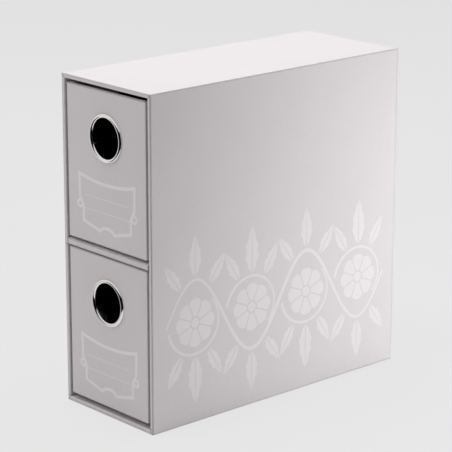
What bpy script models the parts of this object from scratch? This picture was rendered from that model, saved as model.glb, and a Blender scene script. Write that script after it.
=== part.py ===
"""Two-drawer storage box for playing cards: greyboard covered in paper, a metal ring in each front.

Metres, +Z up. The box stands on z = 0 with its drawers facing -Y, and the origin is under the
middle of its outline. The case and each drawer are measured from their own front plane and
underside, on an empty that stands there.
"""

from math import cos, pi, sin

import bmesh
import bpy
from mathutils import Matrix, Vector

# Sheet stock
board_thickness = 0.0018
shelf_board_thickness = 0.003
lower_pad_thickness = 0.0026
upper_pad_thickness = 0.0012
board_edge_crush = 0.00015
paper_thickness = 0.00015
glue_gap = 0.0003

# Case
case_width = 0.083
case_height = 0.210
case_depth = 0.207
case_edge_radius = 0.0006
case_turn_in = 0.015
back_flap_width = 0.012
cover_sheet_inset = 0.0015
shelf_end_gap = 0.0004

# Drawers
drawer_side_clearance = 0.00165
drawer_pad_clearance = 0.0003
drawer_top_clearance = 0.0009
drawer_back_clearance = 0.0016
drawer_recess = 0.00035
drawer_fold_radius = 0.0018
drawer_edge_radius = 0.0005
drawer_turn_in = 0.012

# Finger rings
ring_diameter = 0.030
ring_bead_width = 0.0017
ring_top_margin = 0.0134
ring_barrel_wall = 0.0005
ring_flange_thickness = 0.0004
ring_flange_step = 0.0008
ring_bead_height = 0.0006
ring_edge_round = 0.00015
ring_curl_reach = 0.001
ring_curl_thickness = 0.0005
washer_thickness = 0.0004
washer_inset = 0.0002

# How finely curves are drawn
bevel_steps = 3
ring_steps = 48
bead_steps = 8
corner_steps = 2
cutter_overrun = 0.003

# The fold radii of a ring that isn't folded
unfolded = (0, 0)

# A sheet and the glue line under it, then a whole wall with paper on both faces
cover_build = paper_thickness + glue_gap
wall_build = cover_build + board_thickness + cover_build
sleeve_inset = cover_build + board_thickness + glue_gap

# The case's clear inside, from its own front plane, middle and underside
half_width = case_width / 2
bay_half_width = half_width - wall_build
floor_height = cover_build + wall_build
ceiling_height = case_height - wall_build
bay_back = case_depth - cover_build - wall_build
lining_front = case_turn_in + glue_gap
shelf_build = cover_build + shelf_board_thickness + cover_build
bay_height = (ceiling_height - floor_height - shelf_build) / 2
shelf_underside = floor_height + bay_height
shelf_top = shelf_underside + shelf_build

# How far its pad lifts each drawer off the floor of its bay
lower_lift = glue_gap + lower_pad_thickness + drawer_pad_clearance
upper_lift = glue_gap + upper_pad_thickness + drawer_pad_clearance

# The drawers' outside: both are alike, and the one that is lifted more has the least room
drawer_half_width = bay_half_width - drawer_side_clearance
drawer_height = bay_height - max(lower_lift, upper_lift) - drawer_top_clearance
drawer_length = bay_back - drawer_recess - drawer_back_clearance

# The ring's radii, and its heights out of the drawer's front
ring_radius = ring_diameter / 2
bore_radius = ring_radius - ring_flange_step - ring_bead_width
barrel_radius = bore_radius + ring_barrel_wall
finger_hole_radius = barrel_radius + glue_gap
flange_back = glue_gap
flange_front = flange_back + ring_flange_thickness
ring_proud = flange_front + ring_bead_height - drawer_recess
washer_front = -(wall_build + glue_gap)
washer_back = washer_front - washer_thickness
curl_front = washer_back - glue_gap
curl_back = curl_front - ring_curl_thickness

# The outline runs from the rings' crowns to the back sheet, and its middle is the origin
case_front_y = (ring_proud - case_depth) / 2


def clear_scene():
    for thing in list(bpy.data.objects):
        bpy.data.objects.remove(thing, do_unlink=True)


def srgb(hex_colour):
    """The linear colour of a hex string such as c8c4c6."""
    parts = [int(hex_colour[i : i + 2], 16) / 255 for i in (0, 2, 4)]
    linear = [c / 12.92 if c <= 0.04045 else ((c + 0.055) / 1.055) ** 2.4 for c in parts]
    return (*linear, 1.0)


def make_material(name, hex_colour, roughness, metallic=0.0):
    material = bpy.data.materials.new(name)
    material.use_nodes = True
    shader = material.node_tree.nodes["Principled BSDF"]
    shader.inputs["Base Color"].default_value = srgb(hex_colour)
    shader.inputs["Roughness"].default_value = roughness
    shader.inputs["Metallic"].default_value = metallic
    return material


def make_empty(name, location):
    empty = bpy.data.objects.new(name, None)
    empty.location = location
    bpy.context.collection.objects.link(empty)
    return empty


def add_piece(name, shape, parent, material, location=(0, 0, 0)):
    """Turns a bmesh into a named object on its parent."""
    mesh = bpy.data.meshes.new(name)
    shape.to_mesh(mesh)
    shape.free()
    piece = bpy.data.objects.new(name, mesh)
    piece.parent = parent
    piece.location = location
    if material:
        mesh.materials.append(material)
    bpy.context.collection.objects.link(piece)
    return piece


def smooth(piece):
    piece.data.shade_smooth()
    piece.data.set_sharp_from_angle(angle=pi / 6)


def add_flat(name, parent, material, low, high):
    """A flat piece between two corners, with its own middle as its origin."""
    low, high = Vector(low), Vector(high)
    shape = bmesh.new()
    bmesh.ops.create_cube(shape, size=1, matrix=Matrix.Diagonal((*(high - low), 1)))
    return add_piece(name, shape, parent, material, (low + high) / 2)


def add_board(name, parent, low, high):
    """A board whose cut edges are slightly crushed."""
    board = add_flat(name, parent, greyboard, low, high)
    bevel = board.modifiers.new("crushed_edges", "BEVEL")
    bevel.width = board_edge_crush
    bevel.segments = 1
    return board


def rectangle(x_low, x_high, other_low, other_high, level, upright):
    """Four corners, anticlockwise as seen from the mouth. An upright ring faces the front, not up."""
    corners = [(x_low, other_low), (x_high, other_low), (x_high, other_high), (x_low, other_high)]
    if upright:
        return [Vector((x, level, z)) for x, z in corners]
    return [Vector((x, y, level)) for x, y in corners]


def add_sheet(name, parent, material, rings, ring_folds, side_folds, has_end):
    """A sheet folded through rings of four corners, its shown face outwards, and given its thickness.

    ring_folds holds two fold radii for each ring: along its edges across the box, and along its
    other edges. side_folds holds the one along the four corners between each ring and the next.
    Zero leaves an edge sharp. has_end closes the last ring.
    """
    shape = bmesh.new()
    weight = shape.edges.layers.float.new("bevel_weight_edge")
    loops = [[shape.verts.new(corner) for corner in ring] for ring in rings]
    for here, there in zip(loops, loops[1:]):
        for k in range(4):
            after = (k + 1) % 4
            shape.faces.new((here[k], there[k], there[after], here[after]))
    if has_end:
        shape.faces.new(reversed(loops[-1]))
    widest = max(*side_folds, *(radius for radii in ring_folds for radius in radii))
    for loop, radii in zip(loops, ring_folds):
        for k in range(4):
            edge = shape.edges.get((loop[k], loop[(k + 1) % 4]))
            edge[weight] = radii[k % 2] / widest if widest else 0
    for here, there, radius in zip(loops, loops[1:], side_folds):
        for k in range(4):
            edge = shape.edges.get((here[k], there[k]))
            edge[weight] = radius / widest if widest else 0
    sheet = add_piece(name, shape, parent, material)
    if widest:
        round_folds(sheet, widest)
    thicken(sheet)
    smooth(sheet)
    return sheet


def round_folds(sheet, radius):
    bevel = sheet.modifiers.new("folds", "BEVEL")
    bevel.limit_method = "WEIGHT"
    bevel.width = radius
    bevel.segments = bevel_steps


def thicken(sheet):
    solidify = sheet.modifiers.new("paper", "SOLIDIFY")
    solidify.thickness = paper_thickness
    solidify.offset = -1
    solidify.use_even_offset = True


def cut_hole(piece, cutter):
    boolean = piece.modifiers.new("finger_hole", "BOOLEAN")
    boolean.operation = "DIFFERENCE"
    boolean.solver = "EXACT"
    boolean.object = cutter


def add_turned(name, parent, material, profile, location):
    """A ring turned from a closed outline of (radius, height) points, heights towards the front."""
    shape = bmesh.new()
    points = [shape.verts.new((radius, 0, height)) for radius, height in profile]
    edges = [shape.edges.new((a, b)) for a, b in zip(points, points[1:] + points[:1])]
    bmesh.ops.spin(
        shape,
        geom=points + edges,
        cent=(0, 0, 0),
        axis=(0, 0, 1),
        angle=2 * pi,
        steps=ring_steps,
        use_merge=True,
    )
    bmesh.ops.recalc_face_normals(shape, faces=shape.faces)
    ring = add_piece(name, shape, parent, material, location)
    ring.rotation_euler = (pi / 2, 0, 0)
    smooth(ring)
    return ring


def arc(centre, radii, start, end, steps):
    """Points along part of an ellipse, from one angle to another."""
    turns = [start + (end - start) * i / steps for i in range(steps + 1)]
    return [(centre[0] + radii[0] * cos(t), centre[1] + radii[1] * sin(t)) for t in turns]


def rounded_corner(centre, start):
    """A quarter turn of the ring's own edge rounding."""
    return arc(centre, (ring_edge_round, ring_edge_round), start, start + pi / 2, corner_steps)


def ring_profile():
    """The ring's section: a round bead on a thin flange, a barrel, and a lip curled over behind."""
    bead_half = ring_bead_width / 2
    curl_radius = barrel_radius + ring_curl_reach
    curl_corner_height = curl_back + ring_edge_round
    bead_centre = (bore_radius + bead_half, flange_front)
    bead = arc(bead_centre, (bead_half, ring_bead_height), 0, pi, bead_steps)
    bore_corner = rounded_corner((bore_radius + ring_edge_round, curl_corner_height), pi)
    curl_corner = rounded_corner((curl_radius - ring_edge_round, curl_corner_height), -pi / 2)
    seat = [
        (curl_radius, curl_front),
        (barrel_radius, curl_front),
        (barrel_radius, flange_back),
        (ring_radius, flange_back),
    ]
    flange_corner = rounded_corner((ring_radius - ring_edge_round, flange_front - ring_edge_round), 0)
    return bead + bore_corner + curl_corner + seat + flange_corner


def washer_profile():
    inner = finger_hole_radius
    outer = ring_radius - washer_inset
    return [
        (inner, washer_front),
        (inner, washer_back),
        (outer, washer_back),
        (outer, washer_front),
    ]


def make_case():
    """The wrapped shell and its fixed shelf. Heights are from its underside, depths from its front."""
    case = make_empty("case_front", (0, case_front_y, 0))
    board_half = half_width - cover_build
    board_low = cover_build + cover_build
    board_top = case_height - cover_build
    board_back = case_depth - cover_build - cover_build
    base_top = board_low + board_thickness
    top_underside = board_top - board_thickness
    side_inner = board_half - board_thickness
    back_front = board_back - board_thickness

    for name, low, high in (
        ("case_base_board", board_low, base_top),
        ("case_top_board", top_underside, board_top),
    ):
        add_board(name, case, (-board_half, cover_build, low), (board_half, board_back, high))
    for name, inner, outer in (
        ("case_left_board", -side_inner, -board_half),
        ("case_right_board", side_inner, board_half),
    ):
        add_board(
            name,
            case,
            (min(inner, outer), cover_build, base_top + glue_gap),
            (max(inner, outer), board_back, top_underside - glue_gap),
        )
    add_board(
        "case_back_board",
        case,
        (glue_gap - side_inner, back_front, base_top + glue_gap),
        (side_inner - glue_gap, board_back, top_underside - glue_gap),
    )
    make_case_wrap(case)
    make_case_lining(case)
    make_cover_sheets(case)
    make_shelf(case)
    make_bay_pad("lower_bay_pad", case, floor_height, lower_pad_thickness)
    make_bay_pad("upper_bay_pad", case, shelf_top, upper_pad_thickness)


def make_case_wrap(case):
    """One sheet round all four sides, turned in round the mouth and over the back."""
    wrap_back = case_depth - cover_build
    flap_half = half_width - back_flap_width
    mouth = (-bay_half_width, bay_half_width, floor_height, ceiling_height)
    outline = (-half_width, half_width, cover_build, case_height)
    window_low = cover_build + back_flap_width
    window_high = case_height - back_flap_width
    back_window = (-flap_half, flap_half, window_low, window_high)
    edge_fold = (case_edge_radius, case_edge_radius)
    add_sheet(
        "case_outer_wrap",
        case,
        printed_paper,
        rings=[
            rectangle(*mouth, case_turn_in, True),
            rectangle(*mouth, 0, True),
            rectangle(*outline, 0, True),
            rectangle(*outline, wrap_back, True),
            rectangle(*back_window, wrap_back, True),
        ],
        ring_folds=[unfolded, edge_fold, edge_fold, edge_fold, unfolded],
        side_folds=[0, 0, case_edge_radius, 0],
        has_end=False,
    )


def make_case_lining(case):
    """The sheet inside the case, from the turned-in wrap to the back."""
    lining_half = bay_half_width + paper_thickness
    lining_low = floor_height - paper_thickness
    lining_high = ceiling_height + paper_thickness
    outline = (-lining_half, lining_half, lining_low, lining_high)
    add_sheet(
        "case_lining",
        case,
        lining_paper,
        rings=[
            rectangle(*outline, lining_front, True),
            rectangle(*outline, bay_back + paper_thickness, True),
        ],
        ring_folds=[unfolded, unfolded],
        side_folds=[0],
        has_end=True,
    )


def make_cover_sheets(case):
    """The flat sheets under the case and over its back."""
    sheet_half = half_width - cover_sheet_inset
    add_flat(
        "case_base_sheet",
        case,
        cover_paper,
        (-sheet_half, cover_sheet_inset, 0),
        (sheet_half, case_depth - cover_build - cover_sheet_inset, paper_thickness),
    )
    add_flat(
        "case_back_sheet",
        case,
        cover_paper,
        (-sheet_half, case_depth - paper_thickness, cover_build + cover_sheet_inset),
        (sheet_half, case_depth, case_height - cover_sheet_inset),
    )


def make_shelf(case):
    """The board between the bays and the sheet folded round its front edge, glued in end to end."""
    shelf_half = bay_half_width - shelf_end_gap
    shelf_back = bay_back - glue_gap
    add_board(
        "shelf_board",
        case,
        (-shelf_half, cover_build, shelf_underside + cover_build),
        (shelf_half, shelf_back, shelf_top - cover_build),
    )
    shape = bmesh.new()
    weight = shape.edges.layers.float.new("bevel_weight_edge")
    profile = [
        (shelf_back, shelf_underside),
        (0, shelf_underside),
        (0, shelf_top),
        (shelf_back, shelf_top),
    ]
    left = [shape.verts.new((-shelf_half, y, z)) for y, z in profile]
    right = [shape.verts.new((shelf_half, y, z)) for y, z in profile]
    for i in range(len(profile) - 1):
        shape.faces.new((right[i], right[i + 1], left[i + 1], left[i]))
    for fold in (1, 2):
        shape.edges.get((left[fold], right[fold]))[weight] = 1
    wrap = add_piece("shelf_wrap", shape, case, printed_paper)
    round_folds(wrap, case_edge_radius)
    thicken(wrap)
    smooth(wrap)


def make_bay_pad(name, case, bay_floor, thickness):
    """The board on a bay's floor that a drawer slides on, clear of the paper turned in at the mouth."""
    pad_half = bay_half_width - glue_gap
    pad_low = bay_floor + glue_gap
    add_flat(
        name,
        case,
        black_board,
        (-pad_half, lining_front, pad_low),
        (pad_half, bay_back - glue_gap, pad_low + thickness),
    )


def make_drawer(name, underside):
    """An open tray with a ringed finger hole. Heights are from its underside, depths from its front."""
    drawer = make_empty(f"{name}_slide", (0, case_front_y + drawer_recess, underside))
    board_half = drawer_half_width - cover_build
    side_inner = board_half - board_thickness
    board_back = drawer_length - cover_build
    floor_top = cover_build + board_thickness
    wall_low = floor_top + glue_gap
    wall_high = drawer_height - cover_build
    front_inner = cover_build + board_thickness
    back_inner = board_back - board_thickness
    ring_height = drawer_height - ring_top_margin - ring_radius

    bottom = add_flat(
        f"{name}_bottom_board",
        drawer,
        greyboard,
        (-board_half, cover_build, cover_build),
        (board_half, board_back, floor_top),
    )
    round_underside(bottom)
    front = add_board(
        f"{name}_front_board",
        drawer,
        (-board_half, cover_build, wall_low),
        (board_half, front_inner, wall_high),
    )
    add_board(
        f"{name}_back_board",
        drawer,
        (-board_half, back_inner, wall_low),
        (board_half, board_back, wall_high),
    )
    for side, inner, outer in (("left", -side_inner, -board_half), ("right", side_inner, board_half)):
        add_board(
            f"{name}_{side}_board",
            drawer,
            (min(inner, outer), front_inner + glue_gap, wall_low),
            (max(inner, outer), back_inner - glue_gap, wall_high),
        )
    cutter = make_finger_hole_cutter(name, drawer, ring_height)
    wrap = make_drawer_wrap(name, drawer)
    lining = make_drawer_lining(name, drawer)
    for piece in (front, wrap, lining):
        cut_hole(piece, cutter)
    ring_place = (0, 0, ring_height)
    add_turned(f"{name}_finger_ring", drawer, nickel, ring_profile(), ring_place)
    add_turned(f"{name}_ring_washer", drawer, nickel, washer_profile(), ring_place)


def round_underside(board):
    """Rounds the board's lower side edges, where the tray's blank is folded up into its sides."""
    lower_edges = bmesh.new()
    lower_edges.from_mesh(board.data)
    weight = lower_edges.edges.layers.float.new("bevel_weight_edge")
    for edge in lower_edges.edges:
        one, other = (corner.co for corner in edge.verts)
        if one.z < 0 and other.z < 0 and one.x == other.x:
            edge[weight] = 1
    lower_edges.to_mesh(board.data)
    lower_edges.free()
    round_folds(board, drawer_fold_radius - cover_build)
    smooth(board)


def make_finger_hole_cutter(name, drawer, height):
    shape = bmesh.new()
    bmesh.ops.create_cone(
        shape,
        cap_ends=True,
        segments=ring_steps,
        radius1=finger_hole_radius,
        radius2=finger_hole_radius,
        depth=wall_build + 2 * cutter_overrun,
    )
    place = (0, wall_build / 2, height)
    cutter = add_piece(f"{name}_finger_hole_cutter", shape, drawer, None, place)
    cutter.rotation_euler = (pi / 2, 0, 0)
    cutter.hide_render = True
    cutter.display_type = "WIRE"
    return cutter


def make_drawer_wrap(name, drawer):
    """One sheet under and round the tray, turned in over its top edge."""
    mouth_half = drawer_half_width - wall_build
    mouth = (-mouth_half, mouth_half, wall_build, drawer_length - wall_build)
    outline = (-drawer_half_width, drawer_half_width, 0, drawer_length)
    rim_fold = (drawer_edge_radius, drawer_edge_radius)
    return add_sheet(
        f"{name}_wrap",
        drawer,
        printed_paper,
        rings=[
            rectangle(*mouth, drawer_height - drawer_turn_in, False),
            rectangle(*mouth, drawer_height, False),
            rectangle(*outline, drawer_height, False),
            rectangle(*outline, 0, False),
        ],
        ring_folds=[unfolded, rim_fold, rim_fold, (drawer_edge_radius, drawer_fold_radius)],
        side_folds=[0, 0, drawer_edge_radius],
        has_end=True,
    )


def make_drawer_lining(name, drawer):
    """The dark sheet over the tray's floor and up its walls to the turned-in wrap."""
    lining_half = drawer_half_width - sleeve_inset
    outline = (-lining_half, lining_half, sleeve_inset, drawer_length - sleeve_inset)
    return add_sheet(
        f"{name}_lining",
        drawer,
        lining_paper,
        rings=[
            rectangle(*outline, drawer_height - drawer_turn_in - glue_gap, False),
            rectangle(*outline, sleeve_inset, False),
        ],
        ring_folds=[unfolded, unfolded],
        side_folds=[0],
        has_end=True,
    )


clear_scene()
greyboard = make_material("greyboard", "9c9488", 0.95)
printed_paper = make_material("laminated_paper", "c2bec0", 0.42)
cover_paper = make_material("cover_paper", "dcdadb", 0.6)
lining_paper = make_material("black_lining_paper", "131214", 0.8)
black_board = make_material("black_board", "1f1d1f", 0.85)
nickel = make_material("nickel_plated_steel", "c9c6c0", 0.16, 1.0)

make_case()
make_drawer("upper_drawer", shelf_top + upper_lift)
make_drawer("lower_drawer", floor_height + lower_lift)
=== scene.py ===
"""Looks of a two-drawer storage box: laminated paper over greyboard, nickel finger rings, ink prints."""

from math import cos, pi, radians, sin, sqrt, tan

import bmesh
import bpy
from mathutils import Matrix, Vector


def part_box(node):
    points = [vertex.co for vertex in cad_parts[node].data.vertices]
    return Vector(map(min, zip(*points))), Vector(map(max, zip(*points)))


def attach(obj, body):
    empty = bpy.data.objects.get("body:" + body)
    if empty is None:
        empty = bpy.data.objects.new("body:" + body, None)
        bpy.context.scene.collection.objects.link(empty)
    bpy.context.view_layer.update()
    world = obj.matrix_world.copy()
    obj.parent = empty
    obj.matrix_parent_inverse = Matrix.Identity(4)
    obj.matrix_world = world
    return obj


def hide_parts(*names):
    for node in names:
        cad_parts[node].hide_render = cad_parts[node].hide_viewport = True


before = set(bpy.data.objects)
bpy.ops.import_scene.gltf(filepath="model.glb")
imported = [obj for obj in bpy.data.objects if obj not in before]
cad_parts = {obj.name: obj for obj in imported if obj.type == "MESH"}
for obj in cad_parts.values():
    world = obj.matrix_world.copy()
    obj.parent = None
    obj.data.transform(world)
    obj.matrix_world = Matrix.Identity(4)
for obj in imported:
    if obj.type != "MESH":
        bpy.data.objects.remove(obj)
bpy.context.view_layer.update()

# How far ink, seams and pasted flaps stand out of the paper, in metres
ink_build = 0.00003
overprint_build = 0.00004
ink_sink = 0.00002
seam_build = 0.00001
flap_thickness = 0.0001

# The wrap's glued corner flaps on a drawer's sides
flap_width = 0.014
flap_margin = 0.0007
flap_foot = 0.0026
flap_foot_slant_share = 0.12
flap_top_slant_share = 0.08

# The joints of the turned-in paper at the mouth's corners
mitre_width = 0.00034
# Where a mitre's line starts and ends, as shares of its way from the outer corner to the inner one
mitre_end_shares = (0.12, 0.95)
joint_width = 0.0004
# How high the lower joint lies over the mouth's foot, and how far in from the outside it starts
joint_rise = 0.0008
joint_margin = 0.0004
shelf_joint_reach = 0.0015

# The ring's rolled section: radii, and heights from the drawer's front
ring_outer_radius = 0.015
ring_bore_radius = 0.0124
ring_seat = 0.0001
ring_bead_height = 0.00128
ring_back = -0.0042
ring_curl_front = -0.0037
ring_curl_radius = 0.014
ring_barrel_radius = 0.013
ring_corner = 0.0002
ring_turns = 160
bead_steps = 28
# The ring's section looks crisp where it turns by more degrees than this
ring_crisp_angle = 50

# The writing label: places from the ring's middle, (half width, height)
label_stroke = 0.0021
label_corner = (0.0261, -0.0257)
label_sag_height = -0.0289
label_side_foot = (0.0258, -0.0392)
label_waist = (0.0224, -0.0462)
label_base_corner = (0.0225, -0.0548)
label_dip = (0.0067, -0.0585)
label_arch_height = -0.0558
label_steps = 12
label_curl_middle = (0.0257, -0.0447)
label_curl_radius = 0.0021
label_curl_stroke = 0.0018
rule_width = 0.0009
rule_half_length = 0.0210
rule_heights = (-0.0383, -0.0467)

# The print on the sides: a waving vine with a rosette in each hollow and leaves outside each bend
vine_start = 0.0108
vine_bends = 4
vine_bend_length = 0.0464
vine_middle = 0.0645
vine_swing = 0.0270
vine_width = 0.0027
vine_end_width = 0.0014
vine_steps = 28
shoot_start_radius = 0.0212
shoot_end_radius = 0.0181
# Turns round the rosette in degrees: where the shoot starts, is lowest and ends
shoot_start_turn = 9
shoot_lowest_turn = 90
shoot_end_turn = 222
shoot_width = 0.0021
shoot_end_width = 0.0011
rosette_radius = 0.0155
rosette_eye_radius = 0.0032
rosette_petals = 8
petal_gap = 0.0009
# The half width and the length of a petal's round end, as shares of the petal's length
petal_end_half_width_share = 0.46
petal_end_length_share = 0.45
leaf_gap = 0.0009
leaf_slimness = 0.40
leaf_lobes = 4
# How deep the notches between a leaf's lobes are, as a share of its blade
leaf_notch_share = 0.20
# Powers under 1 draw a leaf's widest place and its lobes towards its foot
leaf_width_power = 0.8
leaf_lobe_power = 0.9
# The bare vein's width at the leaf's foot, and the share of it that is gone at the tip
vein_gap = 0.0010
vein_taper_share = 0.7
# A leaf's blade is printed only where it reaches this many times as far out as its bare vein
least_blade_ratio = 1.3
# How far round the vine a leaf's foot sits, as a share of the leaf's own lean
leaf_foot_lean_share = 0.8
# Leaves as (place along the vine from the bend's crest, lean in degrees, length)
bend_leaves = ((0, 0, 0.0260), (0.0105, 36, 0.0215), (-0.0105, -36, 0.0215))
# Leaves as (place round the shoot in degrees from its lowest point, lean, length)
shoot_leaves = ((0, 0, 0.0300), (29, 31, 0.0220), (-29, -31, 0.0220))

# The sizes of the finishes' patterns, in millimetres
print_cloud_mm = 38
paper_fibre_mm = 1.1
film_peel_mm = 5.0
edge_scuff_and_shade_mm = 3.5
pearl_flake_mm = 0.5
lacquer_cloud_mm = 9.0
nickel_haze_mm = 4.0
nickel_line_mm = 0.4

# How deep their relief is, and how far from a fold the rubbing and painted shade reach, in metres
fibre_relief = 0.00002
film_relief = 0.00006
lacquer_relief = 0.00004
nickel_relief = 0.00002
sheet_relief = 0.00002
board_relief = 0.00005
edge_shade_and_rub_reach = 0.0012

# How much smoother and how much rougher the pulp of a sheet or board gets in places
pulp_smoother_step = 0.06
pulp_rougher_step = 0.04

# The index of refraction of polypropylene film
film_ior = 1.49

case_low, case_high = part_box("case_outer_wrap")
mouth_low, mouth_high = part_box("case_lining")
drawer_names = ("upper_drawer", "lower_drawer")


def srgb(hex_colour):
    """The linear colour of a hex string such as c8c4c6."""
    parts = [int(hex_colour[i : i + 2], 16) / 255 for i in (0, 2, 4)]
    linear = [c / 12.92 if c <= 0.04045 else ((c + 0.055) / 1.055) ** 2.4 for c in parts]
    return (*linear, 1.0)


def per_metre(millimetres):
    """The texture scale that repeats about once in this many millimetres."""
    return 1000 / millimetres


def add_node(tree, kind, inputs=None, **settings):
    """Adds a node with its settings. An input is a socket to link or a value to set."""
    node = tree.nodes.new(kind)
    for name, value in settings.items():
        setattr(node, name, value)
    for name, value in (inputs or {}).items():
        if isinstance(value, bpy.types.NodeSocket):
            tree.links.new(value, node.inputs[name])
        else:
            node.inputs[name].default_value = value
    return node


def new_material(name):
    """A named material, its node tree and its shader."""
    material = bpy.data.materials.new(name)
    material.use_nodes = True
    return material, material.node_tree, material.node_tree.nodes["Principled BSDF"]


def connect(tree, socket, shader, name):
    """Links a node's output to the shader's input of this name."""
    tree.links.new(socket, shader.inputs[name])


def edge_closeness(tree, place, low, high, reach):
    """1 on the edges of the box from low to high, falling to 0 within reach of them."""
    axes = add_node(tree, "ShaderNodeSeparateXYZ", {0: place})
    depths = []
    for axis in range(3):
        from_low = add_node(tree, "ShaderNodeMath", {0: axes.outputs[axis], 1: low[axis]},
                            operation="SUBTRACT")
        from_high = add_node(tree, "ShaderNodeMath", {0: high[axis], 1: axes.outputs[axis]},
                             operation="SUBTRACT")
        nearer = add_node(tree, "ShaderNodeMath", {0: from_low.outputs[0], 1: from_high.outputs[0]},
                          operation="MINIMUM")
        depths.append(nearer.outputs[0])
    sums = []
    for a, b in ((0, 1), (1, 2), (0, 2)):
        total = add_node(tree, "ShaderNodeMath", {0: depths[a], 1: depths[b]}, operation="ADD")
        sums.append(total.outputs[0])
    least = add_node(tree, "ShaderNodeMath", {0: sums[0], 1: sums[1]}, operation="MINIMUM")
    least = add_node(tree, "ShaderNodeMath", {0: least.outputs[0], 1: sums[2]}, operation="MINIMUM")
    near = add_node(
        tree,
        "ShaderNodeMapRange",
        {0: least.outputs[0], "From Min": 0, "From Max": reach, "To Min": 1, "To Max": 0},
        interpolation_type="SMOOTHSTEP",
    )
    return near.outputs[0]


def laminated_paper(name, low, high):
    """Litho-printed art paper under a satin film: a pale pearl grey with a soft, even gloss.

    The film lies slightly uneven over the glued board, and the print is faintly cloudy. Folded edges
    are darker: partly rubbed wear, partly painted shade where the rounded folds get less light.
    """
    material, tree, shader = new_material(name)
    place = add_node(tree, "ShaderNodeTexCoord").outputs["Object"]
    # Print density drifts over a few centimetres
    cloud = add_node(
        tree,
        "ShaderNodeTexNoise",
        {"Vector": place, "Scale": per_metre(print_cloud_mm), "Detail": 2.0, "Roughness": 0.55},
    )
    # Paper fibre is finer than this, but is drawn about 1 mm long so that it shows
    fibre = add_node(
        tree,
        "ShaderNodeTexNoise",
        {"Vector": place, "Scale": per_metre(paper_fibre_mm), "Detail": 4.0, "Roughness": 0.6},
    )
    # The film's orange peel over the board
    peel = add_node(
        tree,
        "ShaderNodeTexNoise",
        {"Vector": place, "Scale": per_metre(film_peel_mm), "Detail": 2.0, "Roughness": 0.5},
    )
    # Folded edges are darkened in patches: partly rubbed wear, partly painted shade of the rounded folds
    edge_shade_and_rub = edge_closeness(tree, place, low, high, edge_shade_and_rub_reach)
    edge_scuff_and_shade = add_node(
        tree,
        "ShaderNodeTexNoise",
        {"Vector": place, "Scale": per_metre(edge_scuff_and_shade_mm), "Detail": 5.0, "Roughness": 0.7},
    )
    patchy = add_node(tree, "ShaderNodeMapRange",
                      {0: edge_scuff_and_shade.outputs["Fac"], "To Min": 0.45, "To Max": 1.0})
    worn_and_shaded = add_node(tree, "ShaderNodeMath", {0: edge_shade_and_rub, 1: patchy.outputs[0]}, operation="MULTIPLY")
    shade = add_node(
        tree,
        "ShaderNodeMix",
        {"Factor": cloud.outputs["Fac"], "A": srgb("d4cfd1"), "B": srgb("dad5d7")},
        data_type="RGBA",
    )
    grain = add_node(
        tree,
        "ShaderNodeMix",
        {"Factor": fibre.outputs["Fac"], "A": srgb("f2f2f2"), "B": srgb("ffffff")},
        data_type="RGBA",
    )
    printed = add_node(
        tree,
        "ShaderNodeMix",
        {"Factor": 1.0, "A": shade.outputs["Result"], "B": grain.outputs["Result"]},
        data_type="RGBA",
        blend_type="MULTIPLY",
    )
    # The dark edge colour stands for rubbed wear and painted shade at once
    rubbed_and_shaded = add_node(
        tree,
        "ShaderNodeMix",
        {"Factor": worn_and_shaded.outputs[0], "A": printed.outputs["Result"], "B": srgb("8c8688")},
        data_type="RGBA",
    )
    connect(tree, rubbed_and_shaded.outputs["Result"], shader, "Base Color")
    gloss = add_node(tree, "ShaderNodeMapRange",
                     {0: fibre.outputs["Fac"], "To Min": 0.36, "To Max": 0.5})
    connect(tree, gloss.outputs[0], shader, "Roughness")
    shader.inputs["IOR"].default_value = film_ior
    fine = add_node(tree, "ShaderNodeBump",
                    {"Height": fibre.outputs["Fac"], "Strength": 0.35, "Distance": fibre_relief})
    film = add_node(tree, "ShaderNodeBump",
                    {"Height": peel.outputs["Fac"], "Strength": 0.4, "Distance": film_relief,
                     "Normal": fine.outputs[0]})
    connect(tree, film.outputs[0], shader, "Normal")
    return material


def printed_ink(name, thin, full):
    """Pearl lacquer printed over the film: a little lighter than the paper, with a fine sparkle."""
    material, tree, shader = new_material(name)
    place = add_node(tree, "ShaderNodeTexCoord").outputs["Object"]
    # Pearl flakes are near 0.05 mm, and are drawn ten times that so that they show
    flake = add_node(tree, "ShaderNodeTexVoronoi",
                     {"Vector": place, "Scale": per_metre(pearl_flake_mm)})
    body = add_node(tree, "ShaderNodeTexNoise",
                    {"Vector": place, "Scale": per_metre(lacquer_cloud_mm), "Detail": 3.0})
    tone = add_node(
        tree,
        "ShaderNodeMix",
        {"Factor": body.outputs["Fac"], "A": srgb(thin), "B": srgb(full)},
        data_type="RGBA",
    )
    connect(tree, tone.outputs["Result"], shader, "Base Color")
    gloss = add_node(tree, "ShaderNodeMapRange",
                     {0: flake.outputs["Distance"], "To Min": 0.34, "To Max": 0.52})
    connect(tree, gloss.outputs[0], shader, "Roughness")
    lay = add_node(tree, "ShaderNodeBump",
                   {"Height": body.outputs["Fac"], "Strength": 0.3, "Distance": lacquer_relief})
    connect(tree, lay.outputs[0], shader, "Normal")
    return material


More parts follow.
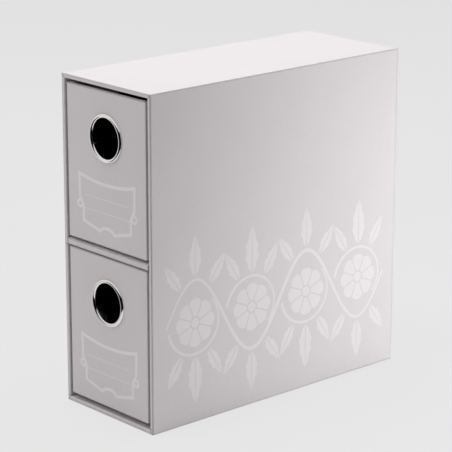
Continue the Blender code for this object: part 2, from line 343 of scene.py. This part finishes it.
def bright_nickel():
    """Bright nickel on pressed steel: a warm mirror with faint handling haze and drawing lines."""
    material, tree, shader = new_material("bright_nickel")
    place = add_node(tree, "ShaderNodeTexCoord").outputs["Object"]
    haze = add_node(tree, "ShaderNodeTexNoise",
                    {"Vector": place, "Scale": per_metre(nickel_haze_mm), "Detail": 4.0})
    lines = add_node(tree, "ShaderNodeTexNoise",
                     {"Vector": place, "Scale": per_metre(nickel_line_mm), "Detail": 3.0})
    tint = add_node(
        tree,
        "ShaderNodeMix",
        {"Factor": haze.outputs["Fac"], "A": srgb("ece9e5"), "B": srgb("f4f2ef")},
        data_type="RGBA",
    )
    connect(tree, tint.outputs["Result"], shader, "Base Color")
    gloss = add_node(tree, "ShaderNodeMapRange",
                     {0: haze.outputs["Fac"], "To Min": 0.05, "To Max": 0.14})
    connect(tree, gloss.outputs[0], shader, "Roughness")
    shader.inputs["Metallic"].default_value = 1.0
    drawn = add_node(tree, "ShaderNodeBump",
                     {"Height": lines.outputs["Fac"], "Strength": 0.08, "Distance": nickel_relief})
    connect(tree, drawn.outputs[0], shader, "Normal")
    return material


def fibrous_sheet(name, dark, light, fibre_mm, roughness, relief):
    """Uncoated paper or board: matt, with fibres and flecks in its pulp."""
    fleck_mm = 2 * fibre_mm
    material, tree, shader = new_material(name)
    place = add_node(tree, "ShaderNodeTexCoord").outputs["Object"]
    fibre = add_node(tree, "ShaderNodeTexNoise",
                     {"Vector": place, "Scale": per_metre(fibre_mm), "Detail": 6.0, "Roughness": 0.65})
    fleck = add_node(tree, "ShaderNodeTexVoronoi",
                     {"Vector": place, "Scale": per_metre(fleck_mm)})
    mixed = add_node(tree, "ShaderNodeMath",
                     {0: fibre.outputs["Fac"], 1: fleck.outputs["Distance"]}, operation="MULTIPLY")
    spread = add_node(tree, "ShaderNodeMapRange", {0: mixed.outputs[0], "From Max": 0.5})
    tone = add_node(
        tree,
        "ShaderNodeMix",
        {"Factor": spread.outputs[0], "A": srgb(dark), "B": srgb(light)},
        data_type="RGBA",
    )
    connect(tree, tone.outputs["Result"], shader, "Base Color")
    matt = add_node(tree, "ShaderNodeMapRange",
                    {0: fibre.outputs["Fac"], "To Min": roughness - pulp_smoother_step,
                     "To Max": roughness + pulp_rougher_step})
    connect(tree, matt.outputs[0], shader, "Roughness")
    lay = add_node(tree, "ShaderNodeBump",
                   {"Height": fibre.outputs["Fac"], "Strength": 0.5, "Distance": relief})
    connect(tree, lay.outputs[0], shader, "Normal")
    return material


def new_object(name, shape, material):
    """Turns a bmesh in the frame's metres into an object."""
    mesh = bpy.data.meshes.new(name)
    shape.to_mesh(mesh)
    shape.free()
    mesh.materials.append(material)
    thing = bpy.data.objects.new(name, mesh)
    bpy.context.collection.objects.link(thing)
    return thing


def new_piece(name, shape, material, body):
    """A piece of the part, which rides on a body."""
    bmesh.ops.recalc_face_normals(shape, faces=shape.faces)
    piece = new_object(name, shape, material)
    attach(piece, body)
    return piece


def add_slab(shape, outline, place, low, high):
    """A closed flat slab. place turns (across, up, out) into a point, and low and high are out."""
    rings = [[shape.verts.new(place(u, v, level)) for u, v in outline] for level in (low, high)]
    shape.faces.new(rings[0])
    shape.faces.new(reversed(rings[1]))
    count = len(outline)
    for i in range(count):
        j = (i + 1) % count
        shape.faces.new((rings[0][j], rings[0][i], rings[1][i], rings[1][j]))


def add_print(shape, outline, place):
    """A printed patch inside an outline."""
    add_slab(shape, [tuple(point) for point in outline], place, -ink_sink, ink_build)


def add_stroke(shape, path, widths, place, build=ink_build, closed=False):
    """A printed line of the given widths along a path, mitred at its corners."""
    points = [Vector(p) for p in path]
    count = len(points)
    lefts, rights = [], []
    for i, point in enumerate(points):
        before = points[i - 1] if i or closed else point
        after = points[(i + 1) % count] if i < count - 1 or closed else point
        into = (point - before).normalized() if before is not point else (after - point).normalized()
        out = (after - point).normalized() if after is not point else into
        along = (into + out).normalized()
        across = Vector((-along.y, along.x))
        half = widths[i] / 2 / into.dot(along)
        lefts.append(point + across * half)
        rights.append(point - across * half)
    rings = [
        [[shape.verts.new(place(p.x, p.y, level)) for p in side] for side in (lefts, rights)]
        for level in (-ink_sink, build)
    ]
    spans = count if closed else count - 1
    for i in range(spans):
        j = (i + 1) % count
        for lefts_here, rights_here in rings:
            shape.faces.new((lefts_here[i], lefts_here[j], rights_here[j], rights_here[i]))
        for side in (0, 1):
            under, over = rings[0][side], rings[1][side]
            shape.faces.new((under[i], under[j], over[j], over[i]))
    if not closed:
        for i in (0, count - 1):
            shape.faces.new((rings[0][0][i], rings[0][1][i], rings[1][1][i], rings[1][0][i]))


def wall_place(low, high, side):
    """Points on the right or left of a box: across is back from its front, up is from the floor."""
    face = high.x if side > 0 else low.x

    def place(across, up, out):
        return (face + side * out, low.y + across, up)

    return place


def mouth_place(across, up, out):
    """Points on the rims round the case's mouth."""
    return (across, case_low.y - out, up)


def front_place(drawer):
    """Points on a drawer's front, from its ring's middle."""
    ring_low, ring_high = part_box(f"{drawer}_finger_ring")
    middle = (ring_low + ring_high) / 2
    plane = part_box(f"{drawer}_wrap")[0].y

    def place(across, up, out):
        return (middle.x + across, plane - out, middle.z + up)

    return place


def turned(lean, way=1):
    """The unit direction this many degrees from upright towards the back, or its mirror below."""
    return Vector((sin(radians(lean)), way * cos(radians(lean))))


def tapered(start_width, end_width, count):
    """This many widths, in even steps from the first to the last."""
    return [start_width + (end_width - start_width) * i / (count - 1) for i in range(count)]


def vine_point(across):
    """A point on the vine's middle line, which swings above and below its middle height."""
    swing = sin(pi * (across - vine_start) / vine_bend_length)
    return Vector((across, vine_middle + vine_swing * swing))


def disc_outline(middle, radius, steps=28):
    """Points spread evenly round a circle."""
    turns = [2 * pi * i / steps for i in range(steps)]
    return [middle + Vector((cos(t), sin(t))) * radius for t in turns]


def add_leaf(shape, foot, forward, length, place, steps=36):
    """A lobed leaf in two halves, with its vein left bare between them."""
    across = Vector((forward.y, -forward.x))
    for side in (-1, 1):
        inner, outer = [], []
        for i in range(steps + 1):
            share = i / steps
            spine = foot + forward * length * share
            vein = vein_gap / 2 * (1 - vein_taper_share * share)
            blade = length * leaf_slimness / 2 * sin(pi * share**leaf_width_power)
            lobe = 1 - leaf_notch_share * abs(cos(leaf_lobes * pi * share**leaf_lobe_power))
            inner.append(spine + across * side * vein)
            if blade * lobe > vein * least_blade_ratio:
                outer.append(spine + across * side * blade * lobe)
        add_print(shape, inner + outer[::-1], place)


def add_rosette(shape, middle, place, steps=20):
    """An open flower: round-ended petals about an eye, with bare lines between them."""
    add_print(shape, disc_outline(middle, rosette_eye_radius), place)
    foot = rosette_eye_radius + petal_gap
    length = rosette_radius - foot
    wedge = tan(pi / rosette_petals)
    for k in range(rosette_petals):
        forward = turned(360 * k / rosette_petals)
        across = Vector((forward.y, -forward.x))
        rights, lefts = [], []
        for i in range(steps + 1):
            share = i / steps
            reach = foot + length * share
            room = reach * wedge - petal_gap / 2
            into_end = max(0, (share - (1 - petal_end_length_share)) / petal_end_length_share)
            round_end = length * petal_end_half_width_share * sqrt(max(0, 1 - into_end**2))
            half = max(min(room, round_end), 0)
            rights.append(middle + forward * reach + across * half)
            if half:
                lefts.append(middle + forward * reach - across * half)
        add_print(shape, rights + lefts[::-1], place)


def shoot_radius(share):
    """The shoot's distance from its rosette's middle, at a share of its way round."""
    return shoot_start_radius + (shoot_end_radius - shoot_start_radius) * share


def add_shoot(shape, middle, way, place, steps=48):
    """A side shoot that leaves the vine and curls round its rosette, with leaves on its back."""
    path = []
    for i in range(steps + 1):
        share = i / steps
        turn = shoot_start_turn + (shoot_end_turn - shoot_start_turn) * share
        outwards = Vector((-cos(radians(turn)), -way * sin(radians(turn))))
        path.append(middle + outwards * shoot_radius(share))
    add_stroke(shape, path, tapered(shoot_width, shoot_end_width, len(path)), place)
    for turn, lean, length in shoot_leaves:
        share = (shoot_lowest_turn + turn - shoot_start_turn) / (shoot_end_turn - shoot_start_turn)
        foot = middle + turned(turn, -way) * (shoot_radius(share) + shoot_width / 2 + leaf_gap)
        add_leaf(shape, foot, turned(lean, -way), length, place)


def add_bend(shape, number, place):
    """One bend of the vine: its rosette, its shoot and the leaves outside it."""
    way = 1 if number % 2 == 0 else -1
    across = vine_start + vine_bend_length * (number + 0.5)
    middle = Vector((across, vine_middle))
    add_rosette(shape, middle, place)
    add_shoot(shape, middle, way, place)
    for aside, lean, length in bend_leaves:
        outwards = turned(lean * leaf_foot_lean_share, way)
        foot = vine_point(across + aside) + outwards * (vine_width / 2 + leaf_gap)
        add_leaf(shape, foot, turned(lean, way), length, place)


def make_side_print(name, side, ink):
    """The band of vine and rosettes printed on the lower half of a side."""
    shape = bmesh.new()
    place = wall_place(case_low, case_high, side)
    length = vine_bends * vine_bend_length
    steps = vine_bends * vine_steps
    vine = [vine_point(vine_start + length * i / steps) for i in range(steps + 1)]
    half = len(vine) // 2
    swelling = tapered(vine_end_width, vine_width, half)
    thinning = tapered(vine_width, vine_end_width, len(vine) - half)
    add_stroke(shape, vine, swelling + thinning, place)
    for number in range(vine_bends):
        add_bend(shape, number, place)
    new_piece(name, shape, ink, "case")


def label_outline():
    """The label's frame: a sagging top, sides that sweep in to a waist, and a foot with an arch."""
    right = [(0, label_sag_height)]
    for i in range(1, label_steps + 1):
        share = i / label_steps
        rise = (label_corner[1] - label_sag_height) * share * share
        right.append((label_corner[0] * share, label_sag_height + rise))
    for i in range(label_steps + 1):
        share = i / label_steps
        sweep = (label_side_foot[0] - label_waist[0]) * (1 - cos(pi * share)) / 2
        drop = (label_side_foot[1] - label_waist[1]) * share
        right.append((label_side_foot[0] - sweep, label_side_foot[1] - drop))
    right.append(label_base_corner)
    for i in range(label_steps):
        share = 1 - i / label_steps
        drop = (label_arch_height - label_dip[1]) * share**3
        right.append((label_dip[0] * share, label_arch_height - drop))
    left = [(-u, v) for u, v in reversed(right[1:])]
    return right + [(0, label_arch_height)] + left


def make_label(drawer, frame_ink, rule_ink):
    """The writing label printed under a ring: a scroll-shaped frame and two faint ruled lines."""
    place = front_place(drawer)
    shape = bmesh.new()
    outline = label_outline()
    add_stroke(shape, outline, [label_stroke] * len(outline), place, closed=True)
    for side in (-1, 1):
        middle = Vector((side * label_curl_middle[0], label_curl_middle[1]))
        curl = disc_outline(middle, label_curl_radius)
        add_stroke(shape, curl, [label_curl_stroke] * len(curl), place, overprint_build, closed=True)
    new_piece(f"{drawer}_label_frame", shape, frame_ink, drawer)

    rules = bmesh.new()
    for height in rule_heights:
        ends = [(-rule_half_length, height), (rule_half_length, height)]
        add_stroke(rules, ends, [rule_width] * 2, place)
    new_piece(f"{drawer}_label_rules", rules, rule_ink, drawer)


def ring_section():
    """(radius, height) points: over the rounded bead from its outer foot, down the barrel and the curl."""
    middle = (ring_bore_radius + ring_outer_radius) / 2
    half = (ring_outer_radius - ring_bore_radius) / 2
    bead = []
    for i in range(bead_steps + 1):
        turn = pi * i / bead_steps
        rise = (ring_bead_height - ring_seat) * sin(turn)
        bead.append((middle + half * cos(turn), ring_seat + rise))
    back = [
        (ring_bore_radius, ring_back + ring_corner),
        (ring_bore_radius + ring_corner, ring_back),
        (ring_curl_radius - ring_corner, ring_back),
        (ring_curl_radius, ring_back + ring_corner),
        (ring_curl_radius, ring_curl_front),
        (ring_barrel_radius, ring_curl_front),
        (ring_barrel_radius, ring_seat),
    ]
    return bead + back


def make_ring(drawer, nickel):
    """The pressed finger ring, turned from its section round the hole."""
    place = front_place(drawer)
    shape = bmesh.new()
    turns = [2 * pi * i / ring_turns for i in range(ring_turns)]
    loops = [
        [shape.verts.new(place(radius * cos(t), radius * sin(t), height)) for t in turns]
        for radius, height in ring_section()
    ]
    for here, there in zip(loops, loops[1:] + loops[:1]):
        for i in range(ring_turns):
            j = (i + 1) % ring_turns
            shape.faces.new((here[i], here[j], there[j], there[i]))
    ring = new_piece(f"{drawer}_rolled_ring", shape, nickel, drawer)
    ring.data.shade_smooth()
    ring.data.set_sharp_from_angle(angle=radians(ring_crisp_angle))
    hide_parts(f"{drawer}_finger_ring")


def make_mouth_seams(ink):
    """The fine lines where the turned-in paper is cut and mitred at the mouth's corners."""
    shape = bmesh.new()
    for side in (-1, 1):
        outer_x = case_high.x * side
        inner_x = mouth_high.x * side
        for outer_z, inner_z in ((case_high.z, mouth_high.z), (case_low.z, mouth_low.z)):
            outer, inner = Vector((outer_x, outer_z)), Vector((inner_x, inner_z))
            ends = [outer.lerp(inner, share) for share in mitre_end_shares]
            add_stroke(shape, ends, [mitre_width] * 2, mouth_place, seam_build)
        foot = mouth_low.z + joint_rise
        ends = [(outer_x - side * joint_margin, foot), (inner_x, foot)]
        add_stroke(shape, ends, [joint_width] * 2, mouth_place, seam_build)
    new_piece("mouth_corner_seams", shape, ink, "case")


def make_shelf_joint(ink):
    """The cut in the left rim's paper where the shelf's sheet is glued in."""
    shape = bmesh.new()
    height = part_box("shelf_wrap")[0].z
    ends = [(mouth_low.x - shelf_joint_reach, height), (mouth_low.x, height)]
    add_stroke(shape, ends, [joint_width] * 2, mouth_place, seam_build)
    new_piece("shelf_joint_seam", shape, ink, "case")


def make_corner_flaps(drawer, paper):
    """The wrap's glued corner flaps on the drawer's sides, at its front and back."""
    shape = bmesh.new()
    low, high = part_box(f"{drawer}_wrap")
    length = high.y - low.y
    bottom, top = low.z + flap_foot, high.z - flap_margin
    for side in (-1, 1):
        place = wall_place(low, high, side)
        for start, reach in ((flap_margin, 1), (length - flap_margin, -1)):
            end = start + reach * flap_width
            outline = [
                (start, bottom),
                (end, bottom + flap_width * flap_foot_slant_share),
                (end, top - flap_width * flap_top_slant_share),
                (start, top),
            ]
            add_slab(shape, outline, place, -ink_sink, flap_thickness)
    new_piece(f"{drawer}_corner_flaps", shape, paper, drawer)


def paint_nodes():
    """Gives every node of the frame the finish of its real material, and returns the nickel."""
    greyboard = fibrous_sheet("greyboard", "857d72", "a89f93",
                              fibre_mm=1.3, roughness=0.94, relief=board_relief)
    cover = fibrous_sheet("uncoated_white_paper", "d6d3d3", "e2dfe0",
                          fibre_mm=1.0, roughness=0.8, relief=sheet_relief)
    lining = fibrous_sheet("matt_black_paper", "262426", "353235",
                           fibre_mm=0.9, roughness=0.84, relief=sheet_relief)
    black_board = fibrous_sheet("dyed_black_board", "1a181a", "282528",
                                fibre_mm=1.3, roughness=0.9, relief=board_relief)
    nickel = bright_nickel()
    for name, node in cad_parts.items():
        if name.endswith("_board"):
            finish = greyboard
        elif name.endswith("_sheet"):
            finish = cover
        elif name.endswith("_lining"):
            finish = lining
        elif name.endswith("_pad"):
            finish = black_board
        elif name.endswith(("_ring", "_washer")):
            finish = nickel
        else:
            finish = laminated_paper(f"satin_laminated_paper_{name}", *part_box(name))
        node.data.materials.clear()
        node.data.materials.append(finish)
    return nickel


# The studio: the tone of its floor and backdrop, and the strength of its fill light
backdrop_tone = "e6e6e6"
room_strength = 0.05
# How much of the floor's own light and shadow shows in its even tone
floor_shadow_share = 0.08
floor_half_size = 8


def seen_by_camera_or_mirror(tree):
    """1 for rays from the camera, or mirrored or let through on their way from it."""
    rays = add_node(tree, "ShaderNodeLightPath")
    seen = add_node(tree, "ShaderNodeMath",
                    {0: rays.outputs["Is Camera Ray"], 1: rays.outputs["Is Glossy Ray"]},
                    operation="MAXIMUM")
    seen = add_node(tree, "ShaderNodeMath",
                    {0: seen.outputs[0], 1: rays.outputs["Is Transmission Ray"]},
                    operation="MAXIMUM")
    return seen.outputs[0]


def make_floor():
    """A pale floor that shows as an even grey and keeps a soft shadow."""
    material, tree, _ = new_material("studio_floor")
    tree.nodes.clear()
    lit = add_node(tree, "ShaderNodeBsdfDiffuse", {"Color": srgb(backdrop_tone)})
    even = add_node(tree, "ShaderNodeEmission", {"Color": srgb(backdrop_tone), "Strength": 1.0})
    shown = add_node(tree, "ShaderNodeMixShader",
                     {0: floor_shadow_share, 1: even.outputs[0], 2: lit.outputs[0]})
    both = add_node(tree, "ShaderNodeMixShader",
                    {0: seen_by_camera_or_mirror(tree), 1: lit.outputs[0], 2: shown.outputs[0]})
    add_node(tree, "ShaderNodeOutputMaterial", {"Surface": both.outputs[0]})
    shape = bmesh.new()
    bmesh.ops.create_grid(shape, x_segments=1, y_segments=1, size=floor_half_size)
    new_object("studio_floor", shape, material)


def make_room():
    """Even light from all round, and the backdrop's tone where the camera or a mirror sees it."""
    world = bpy.data.worlds.new("studio")
    bpy.context.scene.world = world
    world.use_nodes = True
    tree = world.node_tree
    tree.nodes.clear()
    room = add_node(tree, "ShaderNodeBackground", {"Color": srgb("ffffff"), "Strength": room_strength})
    shown = add_node(tree, "ShaderNodeBackground", {"Color": srgb(backdrop_tone), "Strength": 1.0})
    both = add_node(tree, "ShaderNodeMixShader",
                    {0: seen_by_camera_or_mirror(tree), 1: room.outputs[0], 2: shown.outputs[0]})
    add_node(tree, "ShaderNodeOutputWorld", {"Surface": both.outputs[0]})


# Softboxes as name: (place, aim, width, height, spread in degrees, power)
softboxes = {
    "overhead_softbox": ((-0.1, 0.1, 1.5), (0, 0, 0.1), 1.3, 1.3, 180, 23.7),
    "high_front_softbox": ((-0.45, -1.1, 1.0), (0, 0, 0.08), 1.0, 1.0, 180, 8.4),
    "near_right_strip": ((0.42, 0.30, 0.16), (0.04, 0.08, 0.10), 0.15, 0.28, 180, 0.68),
    "gridded_right_softbox": ((0.95, 0.22, 0.25), (0.04, 0.20, 0.08), 0.25, 0.5, 45, 0.4),
}


def add_softbox(name, place, aim, width, height, spread, power):
    """A softbox, whose grid keeps its light within the spread."""
    light = bpy.data.lights.new(name, "AREA")
    light.shape = "RECTANGLE"
    light.size = width
    light.size_y = height
    light.spread = radians(spread)
    light.energy = power
    lamp = bpy.data.objects.new(name, light)
    lamp.location = place
    lamp.rotation_euler = (Vector(aim) - Vector(place)).to_track_quat("-Z", "Y").to_euler()
    lamp.visible_camera = False
    lamp.visible_glossy = False
    bpy.context.collection.objects.link(lamp)


# The black curtain, and the bearings that it spans in degrees round from the right
curtain_tone = "040404"
curtain_bearings = (-127, 40)
curtain_steps = 24
# Its section, as (distance from the box's middle, height), and the distance of its far edge
curtain_foot = ((0.26, 0.002), (0.34, 0.02))
curtain_distance = 1.2
# The far edge's least and greatest height, and the share of the span, from the left, where it climbs
curtain_heights = (0.30, 0.85)
curtain_climb_share = 0.35
# A ring doesn't mirror any part of the curtain that is nearer to it than this, as on an open drawer
curtain_least_distance = 0.15


def black_velvet():
    """Velvet: a deep black with no gloss. Rays that come from near by pass through it."""
    material, tree, _ = new_material("black_velvet")
    tree.nodes.clear()
    pile = add_node(tree, "ShaderNodeBsdfDiffuse", {"Color": srgb(curtain_tone)})
    clear = add_node(tree, "ShaderNodeBsdfTransparent")
    rays = add_node(tree, "ShaderNodeLightPath")
    near = add_node(tree, "ShaderNodeMath",
                    {0: rays.outputs["Ray Length"], 1: curtain_least_distance},
                    operation="LESS_THAN")
    shown = add_node(tree, "ShaderNodeMixShader",
                     {0: near.outputs[0], 1: pile.outputs[0], 2: clear.outputs[0]})
    add_node(tree, "ShaderNodeOutputMaterial", {"Surface": shown.outputs[0]})
    return material


def make_black_curtain():
    """A black curtain out of shot, which the nickel mirrors as the dark bands round the rings."""
    start, end = curtain_bearings
    low_edge, high_edge = curtain_heights
    shape = bmesh.new()
    rows = []
    for i in range(curtain_steps + 1):
        share = i / curtain_steps
        turn = radians(start + (end - start) * share)
        top = low_edge + (high_edge - low_edge) * min(share / curtain_climb_share, 1)
        section = (*curtain_foot, (curtain_distance, top))
        rows.append([shape.verts.new((r * cos(turn), r * sin(turn), z)) for r, z in section])
    for here, there in zip(rows, rows[1:]):
        for i in range(len(curtain_foot)):
            shape.faces.new((here[i], there[i], there[i + 1], here[i + 1]))
    curtain = new_object("black_curtain", shape, black_velvet())
    curtain.visible_camera = False
    curtain.visible_shadow = False
    curtain.visible_diffuse = False


# The camera's place in metres, and its turns about X, Y and Z in degrees
camera_place = (0.93584, -0.84948, 0.46790)
camera_turns = (73.896, -0.07, 48.020)
# Its sensor and lens in millimetres, and the nearest and farthest that it sees in metres
sensor_width_mm = 36
lens_mm = 165.3
camera_sight = (0.05, 40)


def make_camera():
    """The photograph's viewpoint: a long lens, 48 degrees round to the right and 16 degrees up."""
    data = bpy.data.cameras.new("camera")
    data.sensor_width = sensor_width_mm
    data.lens = lens_mm
    data.clip_start, data.clip_end = camera_sight
    camera = bpy.data.objects.new("camera", data)
    camera.location = camera_place
    camera.rotation_euler = [radians(turn) for turn in camera_turns]
    bpy.context.collection.objects.link(camera)
    bpy.context.scene.camera = camera


bpy.context.scene.view_settings.view_transform = "Standard"
nickel = paint_nodes()
frame_ink = printed_ink("pearl_lacquer_frame", "dfdbdc", "e6e2e3")
rule_ink = printed_ink("pearl_lacquer_rules", "d8d4d6", "dcd8da")
side_ink = printed_ink("pearl_lacquer_vine", "dad6d7", "e0dcdd")
seam_ink = printed_ink("cut_paper_edge", "6c6668", "7f797b")
make_side_print("right_side_vine_print", 1, side_ink)
make_side_print("left_side_vine_print", -1, side_ink)
make_mouth_seams(seam_ink)
make_shelf_joint(seam_ink)
for drawer in drawer_names:
    make_ring(drawer, nickel)
    make_label(drawer, frame_ink, rule_ink)
    make_corner_flaps(drawer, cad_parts[f"{drawer}_wrap"].data.materials[0])
make_floor()
make_room()
for name, settings in softboxes.items():
    add_softbox(name, *settings)
make_black_curtain()
make_camera()
